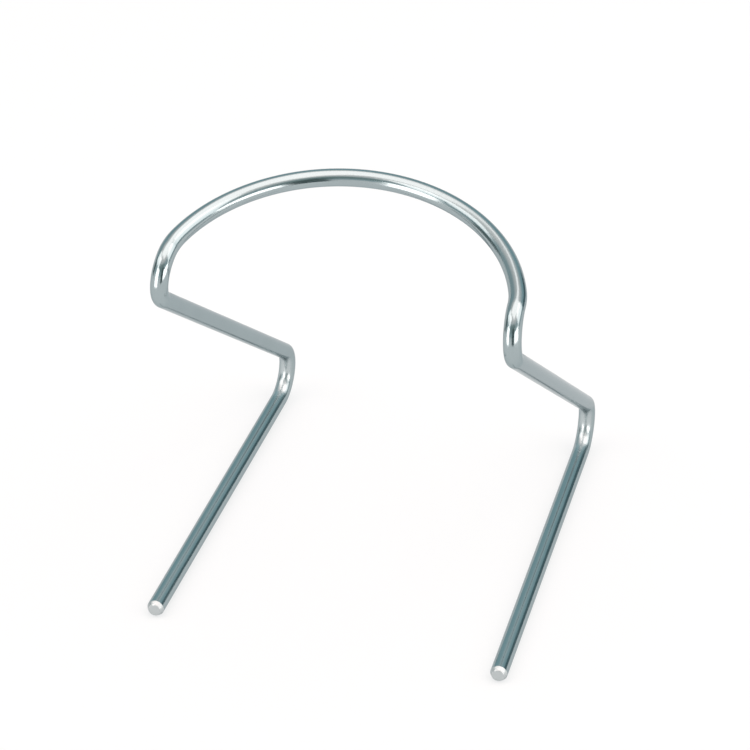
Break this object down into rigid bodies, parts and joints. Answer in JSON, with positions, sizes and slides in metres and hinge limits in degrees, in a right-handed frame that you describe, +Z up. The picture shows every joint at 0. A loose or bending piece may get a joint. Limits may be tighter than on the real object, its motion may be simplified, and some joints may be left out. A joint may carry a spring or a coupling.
{
  "type": "instrument stringer",
  "caption": "Free-standing rack bent from a single polished steel rod: straight legs, slanting struts and a wide raised loop that hinged instruments hang on.",
  "frame": {"origin": "on the table, under the middle of the rack's outer box", "axes": "+X across the rack to its right side, +Y from the leg tips to the heels at the back, +Z up from the table"},
  "size_m": [0.128, 0.1482, 0.1544],
  "materials": {
    "polished_steel": "polished"
  },
  "bodies": {
    "root": {"stringer_rod": "polished_steel"}
  },
  "joints": []
}
